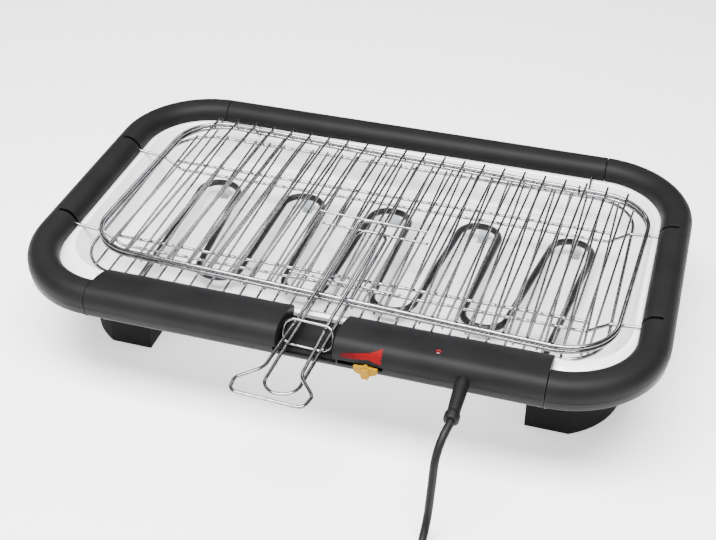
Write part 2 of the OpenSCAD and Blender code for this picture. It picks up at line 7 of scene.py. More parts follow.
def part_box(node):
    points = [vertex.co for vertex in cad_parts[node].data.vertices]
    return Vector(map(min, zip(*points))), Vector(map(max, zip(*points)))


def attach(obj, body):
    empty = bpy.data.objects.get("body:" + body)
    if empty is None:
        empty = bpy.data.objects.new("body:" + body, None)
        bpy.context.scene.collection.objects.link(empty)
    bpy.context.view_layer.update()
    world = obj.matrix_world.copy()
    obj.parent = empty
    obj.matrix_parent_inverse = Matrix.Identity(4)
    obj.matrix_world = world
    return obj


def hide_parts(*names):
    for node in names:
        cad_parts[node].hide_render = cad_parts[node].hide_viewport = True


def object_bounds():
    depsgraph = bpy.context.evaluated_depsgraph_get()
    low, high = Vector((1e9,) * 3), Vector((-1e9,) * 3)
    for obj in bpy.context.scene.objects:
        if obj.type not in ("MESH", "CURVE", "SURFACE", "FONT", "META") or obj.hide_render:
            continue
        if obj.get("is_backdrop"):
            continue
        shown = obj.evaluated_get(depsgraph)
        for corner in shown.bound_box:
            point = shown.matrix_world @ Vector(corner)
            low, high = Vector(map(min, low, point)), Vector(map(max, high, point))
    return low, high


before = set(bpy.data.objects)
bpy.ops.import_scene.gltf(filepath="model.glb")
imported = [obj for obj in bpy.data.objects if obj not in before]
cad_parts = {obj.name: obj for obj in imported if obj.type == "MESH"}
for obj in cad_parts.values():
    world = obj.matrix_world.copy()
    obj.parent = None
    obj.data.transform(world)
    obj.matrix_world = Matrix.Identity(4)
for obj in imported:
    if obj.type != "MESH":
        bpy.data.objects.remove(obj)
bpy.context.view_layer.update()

# ---- Camera: it stands in front of the grill, to the right, and looks down over the control cover.
camera = bpy.data.objects.new("camera", bpy.data.cameras.new("camera"))
bpy.context.collection.objects.link(camera)
camera.data.lens = 62.71
camera.data.sensor_width = 36.0
camera.data.sensor_fit = "HORIZONTAL"
camera.location = (0.2706, -0.8736, 0.7658)
camera.rotation_euler = (radians(90 - 36.85), 0, radians(16.97))
bpy.context.scene.camera = camera

# ---- Power cord: a 7 mm lead in an extruded rubber sheath. It leaves the front wall inside its
# relief, drops to the table and is wound into five turns, with its plug beside them.
# Sizes are in millimetres from the middle of the tube frame, at the height of its inner edge. That
# middle lies frame_back behind the origin and edge_z above the table.
shell_low, shell_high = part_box("end_shell_right")
dome_h = 12.8
frame_back = (shell_low[1] + shell_high[1]) * 500
edge_z = shell_high[2] * 1000 - dome_h
IN_FRAME = Matrix.Translation((0, frame_back / 1000, edge_z / 1000)) @ Matrix.Scale(0.001, 4)


def hex_rgb(code):
    """An sRGB colour such as 'c08040' as linear red, green, blue and alpha."""
    parts = [int(code[i : i + 2], 16) / 255 for i in (0, 2, 4)]
    return [c / 12.92 if c <= 0.04045 else ((c + 0.055) / 1.055) ** 2.4 for c in parts] + [1.0]


def new_material(name, **sockets):
    """A material with set values on its shader. Returns it, its tree, its shader and its place."""
    material = bpy.data.materials.new(name)
    material.use_nodes = True
    tree = material.node_tree
    shader = tree.nodes["Principled BSDF"]
    for socket, value in sockets.items():
        shader.inputs[socket.replace("_", " ")].default_value = value
    return material, tree, shader, tree.nodes.new("ShaderNodeTexCoord").outputs["Object"]


def add_node(tree, kind, settings=None, links=None):
    """Adds a node, sets its sockets and options, and links its inputs."""
    node = tree.nodes.new(kind)
    for name, value in (settings or {}).items():
        if name == "ramp":
            for place, code in value[2:]:
                node.color_ramp.elements.new(place)
            for element, (place, code) in zip(node.color_ramp.elements, sorted(value)):
                element.position, element.color = place, hex_rgb(code)
        elif name in node.inputs:
            node.inputs[name].default_value = value
        else:
            setattr(node, name, value)
    for name, socket in (links or {}).items():
        tree.links.new(socket, node.inputs[name])
    return node


def noise(tree, place, scale, detail=2.0, roughness=0.5):
    """A noise over the piece, with its scale in waves per metre. Returns its value."""
    settings = {"Scale": scale, "Detail": detail, "Roughness": roughness}
    return add_node(tree, "ShaderNodeTexNoise", settings, {"Vector": place}).outputs["Fac"]


def tint(tree, shader, value, dark, light, low=0.3, high=0.7):
    """Colours a material between two tones, as a value goes from low to high."""
    tone = add_node(tree, "ShaderNodeValToRGB", {"ramp": [(low, dark), (high, light)]}, {"Fac": value})
    tree.links.new(tone.outputs["Color"], shader.inputs["Base Color"])


def vary_gloss(tree, shader, value, low, high):
    """Lets a material's roughness follow a value."""
    gloss = add_node(tree, "ShaderNodeMapRange", {"To Min": low, "To Max": high}, {"Value": value})
    tree.links.new(gloss.outputs["Result"], shader.inputs["Roughness"])


def emboss(tree, shader, value, strength):
    """Gives a material a fine relief 0.2 mm deep."""
    settings = {"Strength": strength, "Distance": 0.0002}
    bump = add_node(tree, "ShaderNodeBump", settings, {"Height": value})
    tree.links.new(bump.outputs["Normal"], shader.inputs["Normal"])


def round_route(points, radii, steps, closed=False):
    """The line of a bent wire or section: each corner becomes an arc of its radius."""
    points = [Vector(p) for p in points]
    count = len(points)
    route = [] if closed else [points[0]]
    for i in range(count) if closed else range(1, count - 1):
        corner = points[i]
        radius = radii[i if closed else i - 1]
        if radius == 0:
            route.append(corner)
            continue
        back = (points[i - 1] - corner).normalized()
        ahead = (points[(i + 1) % count] - corner).normalized()
        half = back.angle(ahead) / 2
        middle = corner + (back + ahead).normalized() * radius / sin(half)
        start = corner + back * radius / tan(half) - middle
        end = corner + ahead * radius / tan(half) - middle
        sweep = pi - 2 * half
        for k in range(steps + 1):
            t = k / steps
            route.append(middle + (start * sin(sweep * (1 - t)) + end * sin(sweep * t)) / sin(sweep))
    return route if closed else route + [points[-1]]


def wire_piece(name, routes, diameter, closed=False, sides=3, place=IN_FRAME):
    """Round wire along each route, as one curve object."""
    curve = bpy.data.curves.new(name, "CURVE")
    curve.dimensions = "3D"
    curve.bevel_depth = diameter / 2000
    curve.bevel_resolution = sides
    curve.use_fill_caps = True
    for route in routes:
        spline = curve.splines.new("POLY")
        spline.points.add(len(route) - 1)
        for point, p in zip(spline.points, route):
            point.co = (*(place @ Vector(p)), 1)
        spline.use_cyclic_u = closed
        spline.use_smooth = True
    piece = bpy.data.objects.new(name, curve)
    bpy.context.collection.objects.link(piece)
    return piece


def fasten(piece, material, body, slot, *nodes):
    """Gives a piece its material and its body, and hides the CAD nodes that it stands for. Its slot is not
    used.
    """
    piece.data.materials.clear()
    piece.data.materials.append(material)
    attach(piece, body)
    if nodes:
        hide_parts(*nodes)


# Black PVC rubber: dull, with the fine lines that the extruder leaves.
cord_rubber, tree, shader, place = new_material("pvc_cord_sheath", Roughness=0.5, IOR=1.5,
                                                Specular_IOR_Level=0.2)
grain = noise(tree, place, 900)
tint(tree, shader, grain, "09090a", "101011")
emboss(tree, shader, grain, 0.15)

cord_d = 7.0
cord_x, front_y = 134, -180
cord_floor = cord_d / 2 - edge_z
cord_corners = [(cord_x, -155, 3.42), (cord_x, -221, -8.2), (129.2, -244, -14), (127, -258, cord_floor),
                (127, -330, cord_floor)]
cord_route = round_route(cord_corners, [30, 28, 32], 8)[:-1]
coil_x, coil_y, coil_r = 81.5, -345, 38.5
# Three turns wind inwards on the table, then two wind outwards on top of them.
turns = [(coil_r + cord_d - cord_d * t, cord_floor) for t in (0, 1, 2)]
turns += [(coil_r - 0.5 * cord_d + cord_d * t, cord_floor + 6.1) for t in (0, 1)]
for turn, (radius, height) in enumerate(turns):
    next_radius, next_height = turns[min(turn + 1, len(turns) - 1)]
    for k in range(24):
        late = max(0.0, (k / 24 - 0.7) / 0.3)
        ease = late * late * (3 - 2 * late)
        r = radius + (next_radius - radius) * ease
        z = height + (next_height - height) * ease
        angle = -2 * pi * k / 24
        cord_route.append(Vector((coil_x + r * cos(angle), coil_y + r * sin(angle), z)))
plug_x, plug_z = coil_x + coil_r + cord_d / 2, 19
neck = Vector((plug_x, coil_y - 47, plug_z - edge_z))
cord_route += [Vector((plug_x, coil_y - 12, cord_floor + 6.4)), neck + Vector((0, 14, -5)), neck]
power_cord = wire_piece("power_cord_piece", [cord_route], cord_d, sides=4)
fasten(power_cord, cord_rubber, "grill", "cord_rubber", "power_cord", "cord_coil")


# ---- Mains plug: a moulded round plug for a side-earthed socket, with two nickel-plated pins. It
# lies on its side next to the coil.
sharp_angle = radians(35)


def lathe(bm, section, steps=40, closed=True):
    """Turns a section of (radius, height) points about Z. Returns the new points."""
    before = set(bm.verts)
    ring = [bm.verts.new((r, 0, z)) for r, z in section]
    pairs = list(zip(ring, ring[1:] + ring[:1])) if closed else list(zip(ring, ring[1:]))
    edges = [bm.edges.new(pair) for pair in pairs]
    bmesh.ops.spin(bm, geom=ring + edges, cent=(0, 0, 0), axis=(0, 0, 1), dvec=(0, 0, 0),
                   angle=2 * pi, steps=steps, use_merge=True, use_duplicate=False)
    return [v for v in bm.verts if v not in before]


def mesh_piece(name, bm, place=IN_FRAME):
    """Closes a bmesh into an object whose place is in its mesh."""
    bmesh.ops.remove_doubles(bm, verts=bm.verts, dist=0.001)
    bmesh.ops.recalc_face_normals(bm, faces=bm.faces)
    bmesh.ops.transform(bm, matrix=place, verts=bm.verts)
    mesh = bpy.data.meshes.new(name)
    bm.to_mesh(mesh)
    bm.free()
    mesh.polygons.foreach_set("use_smooth", [True] * len(mesh.polygons))
    mesh.set_sharp_from_angle(angle=sharp_angle)
    piece = bpy.data.objects.new(name, mesh)
    bpy.context.collection.objects.link(piece)
    return piece


plug_bm = bmesh.new()
body_section = round_route([(0, 0, 40), (4.6, 0, 40), (5.6, 0, 46), (12, 0, 49), (13.5, 0, 57), (19, 0, 59),
                            (19, 0, 76), (14, 0, 76), (14, 0, 73), (0, 0, 73)],
                           [1, 2, 4, 3, 2.5, 1.2, 0.5, 1], 4)
lathe(plug_bm, [(p.x, p.z) for p in body_section], closed=False)
plug_at = Matrix.Translation((plug_x, coil_y, plug_z - edge_z))
plug_place = IN_FRAME @ plug_at @ Matrix.Rotation(pi / 2, 4, "X")
plug_body = mesh_piece("power_plug_body", plug_bm, plug_place)
fasten(plug_body, cord_rubber, "grill", "plug_plastic", "power_plug")

# Nickel-plated brass: a warm grey metal with a soft shine.
nickel, tree, shader, place = new_material("nickel_plated_brass", Metallic=1.0, Roughness=0.25)
cloud = noise(tree, place, 400, 3)
tint(tree, shader, cloud, "a8a49a", "c6c2b8")
pins_bm = bmesh.new()
for side in (-1, 1):
    pin = lathe(pins_bm, [(0, 72), (2.4, 72), (2.4, 93.5), (1.4, 95), (0, 95)], 20, closed=False)
    bmesh.ops.translate(pins_bm, vec=(9.5 * side, 0, 0), verts=pin)
plug_pins = mesh_piece("power_plug_pins", pins_bm, plug_place)
fasten(plug_pins, nickel, "grill", "screw_steel")

# ---- Strain relief: a tapered rubber sleeve moulded on the cord, with a flange behind the front
# wall and a flared collar at its outer end. It points 10 degrees down.
relief_bm = bmesh.new()
relief_section = round_route([(3.4, 0, -7), (6.4, 0, -7), (6.4, 0, -4), (5.1, 0, -4), (5.1, 0, 3.4),
                              (6.2, 0, 3.4), (5.2, 0, 33), (6.4, 0, 35), (6.4, 0, 41), (5.6, 0, 42),
                              (3.4, 0, 42)],
                             [0.3, 0.6, 0.3, 0, 0.3, 1.2, 3, 1, 0.8, 0.5, 0.3], 3, closed=True)
lathe(relief_bm, [(p.x, p.z) for p in relief_section])
relief_at = Matrix.Translation((cord_x, front_y + 2, -0.6))
along_cord = IN_FRAME @ relief_at @ Matrix.Rotation(radians(100), 4, "X")
strain_relief = mesh_piece("strain_relief_sleeve", relief_bm, along_cord)
fasten(strain_relief, cord_rubber, "grill", "cord_rubber", "strain_relief")

# ---- End shells: the round corners and sides of the frame, each moulded in one piece of black
# textured plastic 2.2 mm thick. Two slots in each inner wall take the grate's carrier wires.
corner_x, corner_y = 200, 90
outer_r, tube_w, wall = 90, 28.5, 2.2
inner_r = outer_r - tube_w
seam_z, shoulder_z, lip_z = -3.5, -4.3, -12
slot_x, slot_y = 268.5, 69


def sweep(bm, section, centre, facing, moves, closed=True, steps=14):
    """Carries a section of (distance from the corner's centre, height) points along the frame."""
    out = Vector((cos(radians(facing)), sin(radians(facing)), 0))
    ring = [bm.verts.new(Vector((*centre, z)) + out * u) for u, z in section]
    pairs = list(zip(ring, ring[1:] + ring[:1])) if closed else list(zip(ring, ring[1:]))
    last = ring + [bm.edges.new(pair) for pair in pairs]
    for pivot, degrees, run in moves:
        last = bmesh.ops.spin(bm, geom=last, cent=(*pivot, 0), axis=(0, 0, 1), dvec=(*run, 0),
                              angle=radians(degrees), steps=steps if degrees else 1,
                              use_merge=False, use_duplicate=False)["geom_last"]


def pull(bm, face, move):
    """Pulls a copy of a face along a move, with walls between the two."""
    made = bmesh.ops.extrude_face_region(bm, geom=[face])["geom"]
    bmesh.ops.translate(bm, vec=move, verts=[g for g in made if isinstance(g, bmesh.types.BMVert)])


def box(bm, low, high):
    """A box between two corners."""
    made = bmesh.ops.create_cube(bm, size=1)["verts"]
    bmesh.ops.scale(bm, vec=[b - a for a, b in zip(low, high)], verts=made)
    bmesh.ops.translate(bm, vec=[(a + b) / 2 for a, b in zip(low, high)], verts=made)


def combine(piece, solids, operation):
    """Cuts solids from a piece, or joins them to it, and keeps only the result."""
    for solid in solids:
        step = piece.modifiers.new("combine", "BOOLEAN")
        step.operation, step.object, step.solver = operation, solid, "EXACT"
    bpy.context.view_layer.update()
    made = bpy.data.meshes.new_from_object(piece.evaluated_get(bpy.context.evaluated_depsgraph_get()))
    piece.modifiers.clear()
    piece.data = made
    made.set_sharp_from_angle(angle=sharp_angle)
    for solid in solids:
        bpy.data.objects.remove(solid)


def soften(piece, width):
    """Breaks the sharp edges of a moulded piece."""
    bevel = piece.modifiers.new("soft_edges", "BEVEL")
    bevel.width = width / 1000
    bevel.segments = 2
    bevel.limit_method = "ANGLE"
    bevel.angle_limit = radians(40)
    bevel.use_clamp_overlap = True


def tube_section():
    """The domed upper half of the tube: outside, then back along the inside."""
    outside = round_route([(inner_r, 0, seam_z), (inner_r, 0, dome_h), (outer_r, 0, dome_h),
                           (outer_r, 0, seam_z)], [dome_h, dome_h], 12)
    r = dome_h - wall
    inside = round_route([(outer_r - wall, 0, seam_z), (outer_r - wall, 0, r), (inner_r + wall, 0, r),
                          (inner_r + wall, 0, seam_z)], [r, r], 8)
    return [(p.x, p.z) for p in outside + inside]


def add_posts(bm, spots, bore, radius, low, high):
    """Round screw posts with a bore."""
    for x, y in spots:
        made = lathe(bm, [(bore, low), (radius, low), (radius, high), (bore, high)], 16)
        bmesh.ops.translate(bm, vec=(x, y, 0), verts=made)


def carrier_slots(side, low):
    """The two slots of one end, as solids to cut away."""
    slot_bm = bmesh.new()
    x = side * slot_x
    for y in (-slot_y, slot_y):
        box(slot_bm, (x - 10, y - 1.9, low), (x + 10, y + 1.9, 30))
    return mesh_piece("slots", slot_bm)


# Moulded ABS, spark-eroded to a fine matt grain of about 0.7 mm, which spreads the shine.
frame_plastic, tree, shader, place = new_material("textured_black_abs", IOR=1.54, Specular_IOR_Level=0.1)
grain = noise(tree, place, 1400, 4, roughness=0.6)
mottle = noise(tree, place, 30)
tint(tree, shader, mottle, "101011", "151516")
vary_gloss(tree, shader, grain, 0.48, 0.6)
emboss(tree, shader, grain, 0.25)

tube_mid = outer_r - tube_w / 2
end_posts = [(corner_x + tube_mid, 36), (corner_x + tube_mid, -36), (220, corner_y + tube_mid - 3),
             (220, -corner_y - tube_mid + 3)]
back_posts = [(-130, corner_y + tube_mid), (130, corner_y + tube_mid)]
# Bore, radius, bottom and top of the screw posts in the shells and in the troughs.
shell_post, base_post = (1.25, 3.2, -3, 11.2), (1.6, 4.6, lip_z + 1, -3)
round_the_end = [((corner_x, corner_y), -90, (0, 0)), ((0, 0), 0, (0, -2 * corner_y)),
                 ((corner_x, -corner_y), -90, (0, 0))]
for side, name in ((1, "right"), (-1, "left")):
    shell_bm = bmesh.new()
    sweep(shell_bm, tube_section(), (corner_x, corner_y), 90, round_the_end)
    bmesh.ops.holes_fill(shell_bm, edges=shell_bm.edges, sides=0)
    add_posts(shell_bm, end_posts, *shell_post)
    bmesh.ops.scale(shell_bm, vec=(side, 1, 1), verts=shell_bm.verts)
    shell = mesh_piece("end_shell_%s_moulding" % name, shell_bm)
    combine(shell, [carrier_slots(side, seam_z - 1)], "DIFFERENCE")
    soften(shell, 0.35)
    fasten(shell, frame_plastic, "grill", "frame_plastic", "end_shell_%s" % name)

# ---- Back shell: the straight tube behind the grate, moulded in the same plastic. Its square ends
# meet the end shells in two fine joint lines.
half_length = corner_x - 0.6
back_bm = bmesh.new()
sweep(back_bm, tube_section(), (half_length, corner_y), 90, [((0, 0), 0, (-2 * half_length, 0))])
bmesh.ops.holes_fill(back_bm, edges=back_bm.edges, sides=0)
add_posts(back_bm, back_posts, *shell_post)
back_shell = mesh_piece("back_shell_moulding", back_bm)
soften(back_shell, 0.35)
fasten(back_shell, frame_plastic, "grill", "frame_plastic", "back_shell")

# ---- Control cover: the wide front moulding over the regulator. Its crown rises towards the front
# and a square notch lets the basket's two handles through.
cover_in, crown_r, notch_half, notch_z = outer_r - 50, 74, 25, -6.2
lamp_x, lamp_y = 110, -164
# The hole round the relief, as a (radius, distance along the cord) outline.
cord_hole = [(0, -4), (5.3, -4), (5.3, 8), (0, 8)]


def cover_line(inset, low):
    """The outside of the cover's section, or the same line further in."""
    crown_u, r = outer_r - dome_h, crown_r - inset
    start = cover_in + inset
    crown = [start + (crown_u - start) * k / 8 for k in range(9)]
    line = [(start, low)] + [(u, dome_h - crown_r + sqrt(r * r - (crown_u - u) ** 2)) for u in crown]
    nose = dome_h - inset
    line += [(crown_u + nose * sin(radians(9 * k)), nose * cos(radians(9 * k))) for k in range(1, 11)]
    return line + [(outer_r - inset, low)]


def front_run(bm, section, low_x, high_x):
    """Carries a section along the front, from high_x to low_x, and closes its ends."""
    sweep(bm, section, (high_x, -corner_y), -90, [((0, 0), 0, (low_x - high_x, 0))])
    bmesh.ops.holes_fill(bm, edges=bm.edges, sides=0)


cover_bm = bmesh.new()
hollow = round_route([(u, 0, z) for u, z in cover_line(0, seam_z)], [0, 1.4] + [0] * 18, 3)
skin = [(p.x, p.z) for p in hollow] + cover_line(wall, seam_z)[::-1]
front_run(cover_bm, skin, -half_length, half_length)
cover = mesh_piece("control_cover_moulding", cover_bm)
added = []
for low_x, high_x, low in ((-half_length, 2 - half_length, seam_z), (half_length - 2, half_length, seam_z),
                           (-notch_half - wall, notch_half + wall, notch_z - wall)):
    solid_bm = bmesh.new()
    section = cover_line(0.5, low)
    if low != seam_z:
        section = section[1:-1] + [(outer_r - 3, low), (cover_in + 3, low)]
    front_run(solid_bm, section, low_x, high_x)
    added.append(mesh_piece("cover_wall", solid_bm))
combine(cover, added, "UNION")
notch_bm, lamp_bm, cord_bm = bmesh.new(), bmesh.new(), bmesh.new()
box(notch_bm, (-notch_half, front_y - 1, notch_z), (notch_half, -128, 30))
lathe(lamp_bm, [(0, 0), (3.1, 0), (3.1, 30), (0, 30)], 24, closed=False)
bmesh.ops.translate(lamp_bm, vec=(lamp_x, lamp_y, 0), verts=lamp_bm.verts)
lathe(cord_bm, cord_hole, 24, closed=False)
combine(cover, [mesh_piece("notch", notch_bm), mesh_piece("lamp_hole", lamp_bm),
                mesh_piece("cord_hole", cord_bm, along_cord)], "DIFFERENCE")
soften(cover, 0.4)
fasten(cover, frame_plastic, "grill", "frame_plastic", "control_cover")

# ---- Lower frame: three troughs of the same plastic under the tube. They stand a little further in
# than the shells, which leaves a dark seam all round and a narrow lip below it. Their plastic is
# painted a little lighter than the shells' as painted reflection of the pale table on the lip.
base_plastic, tree, shader, place = new_material("satin_black_abs_painted_table_reflection", IOR=1.54, Roughness=0.34,
                                                 Specular_IOR_Level=0.12)
grain = noise(tree, place, 1100, 3)
# These tones, lighter than the shells', are painted reflection of the pale table; the lower roughness gives
# the lip its real shine.
tint(tree, shader, grain, "171718", "1d1d1f")
emboss(tree, shader, grain, 0.15)

low_in, low_out = inner_r + 0.8, outer_r - 0.8
tongue_in, tongue_out = inner_r + wall + 0.15, outer_r - wall - 0.15
trough = [(low_in, shoulder_z, 0.3), (low_in, lip_z, 1.4), (low_out, lip_z, 1.4), (low_out, shoulder_z, 0.3),
          (tongue_out, shoulder_z, 0), (tongue_out, -1.7, 0), (tongue_out - 1, -1.7, 0),
          (tongue_out - 1, lip_z + 2, 0.4), (tongue_in + 1, lip_z + 2, 0.4), (tongue_in + 1, -1.7, 0),
          (tongue_in, -1.7, 0), (tongue_in, shoulder_z, 0)]
trough_line = round_route([(u, 0, z) for u, z, r in trough], [r for u, z, r in trough], 3, closed=True)
trough = [(p.x, p.z) for p in trough_line]
for side, name in ((1, "right"), (-1, "left")):
    base_bm = bmesh.new()
    sweep(base_bm, trough, (corner_x, corner_y), 90, round_the_end)
    bmesh.ops.holes_fill(base_bm, edges=base_bm.edges, sides=0)
    bmesh.ops.scale(base_bm, vec=(side, 1, 1), verts=base_bm.verts)
    base = mesh_piece("end_base_%s_moulding" % name, base_bm)
    combine(base, [carrier_slots(side, -2.9)], "DIFFERENCE")
    posts_bm = bmesh.new()
    add_posts(posts_bm, end_posts, *base_post)
    fasten(base, base_plastic, "grill", "base_plastic", "end_base_%s" % name)
    bmesh.ops.scale(posts_bm, vec=(side, 1, 1), verts=posts_bm.verts)
    posts = mesh_piece("end_base_%s_posts" % name, posts_bm)
    fasten(posts, base_plastic, "grill", "base_plastic")
base_bm = bmesh.new()
sweep(base_bm, trough, (half_length, corner_y), 90, [((0, 0), 0, (-2 * half_length, 0))])
bmesh.ops.holes_fill(base_bm, edges=base_bm.edges, sides=0)
add_posts(base_bm, back_posts, *base_post)
back_base = mesh_piece("back_base_moulding", base_bm)
fasten(back_base, base_plastic, "grill", "base_plastic", "back_base")

# ---- Control housing: the deep tub under the cover, moulded with the lower frame's lip along its
# front. It carries the regulator, the terminal block and the ends of the heating element.
house_z = -38
terminal_x, element_z = 186.5, -27


def house_line(t):
    """The tub's section, t inside its skin."""
    inner, outer = cover_in + 0.8 + t, outer_r - 0.8 - t
    return [(outer, shoulder_z), (outer, lip_z + t), (75 + t / 2, lip_z + t), (61 + t / 2, house_z + t),
            (inner, house_z + t), (inner, shoulder_z)]


house_bm = bmesh.new()
skin = house_line(0) + house_line(wall)[::-1]
skin_r = [0.3, 1.4, 1.5, 2, 2, 0.3] + [0.3, 1, 1, 1, 1, 0.3][::-1]
skin = round_route([(u, 0, z) for u, z in skin], skin_r, 3, closed=True)
front_run(house_bm, [(p.x, p.z) for p in skin], -half_length, half_length)
housing = mesh_piece("control_housing_moulding", house_bm)
added = []
for low_x, high_x in ((-half_length, 2 - half_length), (half_length - 2, half_length)):
    solid_bm = bmesh.new()
    front_run(solid_bm, house_line(0.01), low_x, high_x)
    added.append(mesh_piece("housing_end", solid_bm))
combine(housing, added, "UNION")
notch_bm, slot_bm, cord_bm = bmesh.new(), bmesh.new(), bmesh.new()
box(notch_bm, (-notch_half - 2.5, front_y - 1, notch_z - wall - 0.2), (notch_half + 2.5, -128, 20))
box(slot_bm, (29, front_y - 1, -8), (67.5, front_y + 4, 20))
lathe(cord_bm, cord_hole, 24, closed=False)
combine(housing, [mesh_piece("notch", notch_bm), mesh_piece("slot", slot_bm),
                  mesh_piece("cord_hole", cord_bm, along_cord)], "DIFFERENCE")
fasten(housing, base_plastic, "grill", "base_plastic", "control_housing")

# ---- Drip tray: one pressed sheet of bright aluminium 0.8 mm thick. Its flange is clamped between
# the upper and lower frame, and its sloping walls throw the heat back up.
tray_r, tray_x, tray_back, tray_front = 56, 201, 91.5, -71
flange_z, tray_floor = -3.7, -42
open_r = inner_r + 1.8
tray_bm = bmesh.new()
step_x, step_y = corner_x - 1.8, -corner_y - cover_in - 1.8
hook = -corner_y - sqrt(open_r ** 2 - 1.8 ** 2)
rim = [(step_x, step_y), (step_x, hook)]
for cx, cy, start in ((corner_x, -corner_y, -88), (corner_x, corner_y, 0), (-corner_x, corner_y, 90),
                      (-corner_x, -corner_y, 180)):
    rim += [(cx + open_r * cos(radians(start + a)), cy + open_r * sin(radians(start + a)))
            for a in range(0, 89 if start in (-88, 180) else 91, 8)]
rim += [(-step_x, hook), (-step_x, step_y)]
rim_verts = [tray_bm.verts.new((x, y, flange_z)) for x, y in rim]
rim_edges = [tray_bm.edges.new(pair) for pair in zip(rim_verts, rim_verts[1:] + rim_verts[:1])]
press = round_route([(57.6, 0, flange_z), (tray_r, 0, flange_z), (tray_r - 14, 0, tray_floor),
                     (30, 0, tray_floor)], [1.2, 9], 6)
circuit = [((tray_x, tray_back), -90, (0, 0)), ((0, 0), 0, (0, tray_front - tray_back)),
           ((tray_x, tray_front), -90, (0, 0)), ((0, 0), 0, (-2 * tray_x, 0)),
           ((-tray_x, tray_front), -90, (0, 0)), ((0, 0), 0, (0, tray_back - tray_front)),
           ((-tray_x, tray_back), -90, (0, 0)), ((0, 0), 0, (2 * tray_x, 0))]
sweep(tray_bm, [(p.x, p.z) for p in press], (tray_x, tray_back), 90, circuit, closed=False, steps=12)
bmesh.ops.remove_doubles(tray_bm, verts=tray_bm.verts, dist=0.01)
top = [e for e in tray_bm.edges if e.is_boundary and all(v.co.z > -4 for v in e.verts)]
bottom = [e for e in tray_bm.edges if e.is_boundary and all(v.co.z < tray_floor + 1 for v in e.verts)]
bmesh.ops.edgeloop_fill(tray_bm, edges=bottom)
flange = set(top) | {e for e in rim_edges if e.is_valid}
bmesh.ops.triangle_fill(tray_bm, use_beauty=True, edges=list(flange))
tray = mesh_piece("drip_tray_pressing", tray_bm)
sheet = tray.modifiers.new("sheet", "SOLIDIFY")
sheet.thickness = 0.0006
sheet.offset = -1

# Bright rolled aluminium with a faint rolling grain along the sheet. It spreads light so widely that
# it shows nearly white, so the shader is mostly matt.
tray_metal, tree, shader, place = new_material("bright_rolled_aluminium", Metallic=0.2, Roughness=0.38)
stretch = add_node(tree, "ShaderNodeMapping", {"Scale": (6.0, 900.0, 60.0)}, {"Vector": place})
grain = noise(tree, stretch.outputs["Vector"], 1, 3)
tint(tree, shader, grain, "f4f4f6", "ffffff")
vary_gloss(tree, shader, grain, 0.34, 0.46)
fasten(tray, tray_metal, "grill", "tray_metal", "drip_tray")

# ---- Feet: four hollow quarter-round blocks of heat-proof black plastic under the tray, each with
# an arm that is screwed to the lower frame.
foot_plastic, tree, shader, place = new_material("matt_black_phenolic", IOR=1.55, Roughness=0.75,
                                                 Specular_IOR_Level=0.1)
grain = noise(tree, place, 800, 3)
tint(tree, shader, grain, "0e0e0f", "141415")
emboss(tree, shader, grain, 0.2)

foot_r, foot_cx, foot_cy, foot_top, foot_skin = 73.7, 181.2, 46.6, -46, 3
block_low = 0.8 - edge_z
foot_line = [(178, 38.6)]
for a in range(-6, 61, 6):
    foot_line.append((foot_cx + foot_r * cos(radians(a)), foot_cy + foot_r * sin(radians(a))))
foot_line += [(foot_cx + sqrt(foot_r ** 2 - (111 - foot_cy) ** 2), 111), (178, 111)]
arm_line = [(225, -50), (269, -50), (269, -16), (287, -16), (287, -12), (265, -12), (265, -46), (225, -46)]
for x_side, y_side, name in ((1, 1, "back_right"), (-1, 1, "back_left"),
                             (1, -1, "front_right"), (-1, -1, "front_left")):
    foot_bm = bmesh.new()
    base_face = foot_bm.faces.new([foot_bm.verts.new((x, y, block_low)) for x, y in foot_line])
    pull(foot_bm, base_face, (0, 0, foot_top - block_low))
    floor_face = min(foot_bm.faces, key=lambda f: f.calc_center_median().z)
    bmesh.ops.inset_region(foot_bm, faces=[floor_face], thickness=foot_skin)
    floor_face = min(foot_bm.faces, key=lambda f: f.calc_center_median().z + 1 / f.calc_area())
    pull(foot_bm, floor_face, (0, 0, foot_top - block_low - foot_skin))
    bmesh.ops.delete(foot_bm, geom=[floor_face], context="FACES_ONLY")
    arm_face = foot_bm.faces.new([foot_bm.verts.new((x, 54, z)) for x, z in arm_line])
    pull(foot_bm, arm_face, (0, 30, 0))
    bmesh.ops.scale(foot_bm, vec=(x_side, y_side, 1), verts=foot_bm.verts)
    foot = mesh_piece("foot_%s_block" % name, foot_bm)
    soften(foot, 1.2)
    fasten(foot, foot_plastic, "grill", "foot_plastic", "foot_%s" % name)

# ---- Foot pads: eight round rubber pads pressed into the feet; they stand on the table.
pad_rubber, tree, shader, place = new_material("grey_pad_rubber", IOR=1.5, Roughness=0.8)
speck = noise(tree, place, 1500)
tint(tree, shader, speck, "2a2a2b", "38383a")
pads_bm = bmesh.new()
for x_side, y_side in ((1, 1), (-1, 1), (1, -1), (-1, -1)):
    for x, y in ((197, 94), (234, 60)):
        made = lathe(pads_bm, [(0, 0), (5.2, 0), (6, 0.8), (6, 3.9), (0, 3.9)], 24, closed=False)
        bmesh.ops.translate(pads_bm, vec=(x * x_side, y * y_side, -edge_z), verts=made)
pads = mesh_piece("foot_pads_rubber", pads_bm)
fasten(pads, pad_rubber, "grill", "rubber_pad", "foot_pads")

